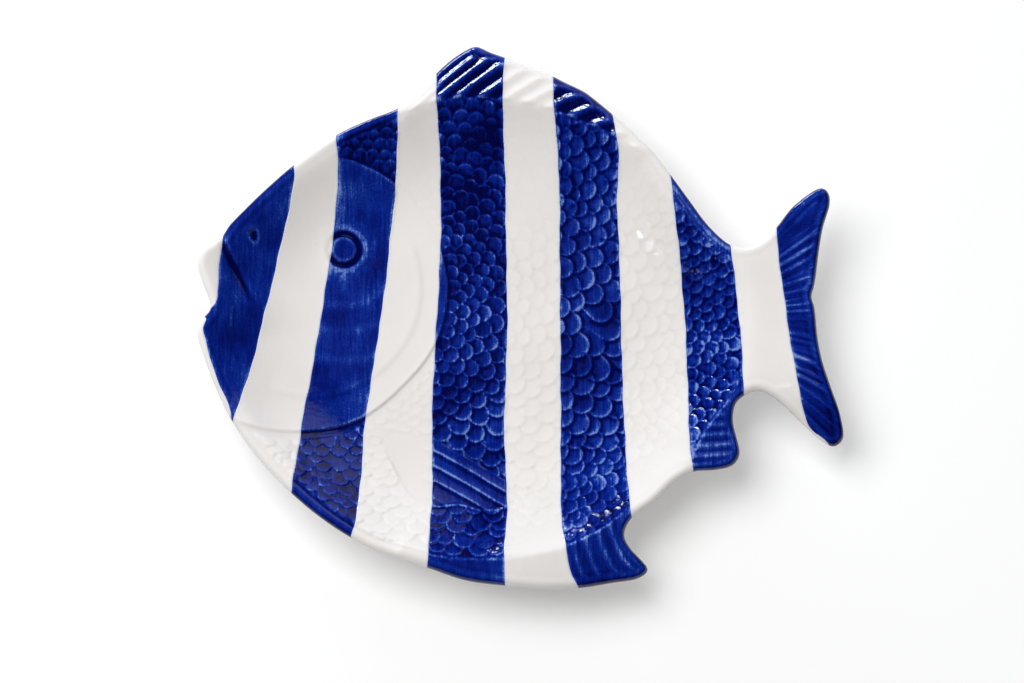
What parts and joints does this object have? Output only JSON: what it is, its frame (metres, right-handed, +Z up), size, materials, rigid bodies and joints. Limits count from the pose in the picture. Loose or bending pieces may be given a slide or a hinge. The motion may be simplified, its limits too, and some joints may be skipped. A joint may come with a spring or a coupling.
{
  "type": "dessert plate",
  "caption": "Fish-shaped glazed earthenware dessert plate with a shallow well, moulded fins and tail, cross bands of blue and white glaze, and a bare foot ring to stand on.",
  "frame": {"origin": "on the standing plane, under the middle of the plate's bounding box", "axes": "+X from the snout towards the tail, +Y towards the back fin, +Z up out of the well"},
  "size_m": [0.24, 0.2064, 0.0265],
  "materials": {
    "white_glaze": "glossy white glaze, faintly warm",
    "blue_glaze": "glossy brushed cobalt-blue glaze, darker where it pools",
    "biscuit": "bare fired earthenware, matte"
  },
  "bodies": {
    "root": {"biscuit_body": "biscuit", "foot_ring": "biscuit", "glaze_white_back": "white_glaze", "glaze_white_foot_well": "white_glaze", "glaze_white_lip": "white_glaze", "glaze_white_jaw": "white_glaze", "glaze_blue_snout": "blue_glaze", "glaze_white_cheek": "white_glaze", "glaze_blue_eye": "blue_glaze", "glaze_white_gill": "white_glaze", "glaze_blue_shoulder": "blue_glaze", "glaze_white_middle": "white_glaze", "glaze_blue_flank": "blue_glaze", "glaze_white_rear": "white_glaze", "glaze_blue_hind": "blue_glaze", "glaze_white_tail_root": "white_glaze", "glaze_blue_tail": "blue_glaze"}
  },
  "joints": []
}
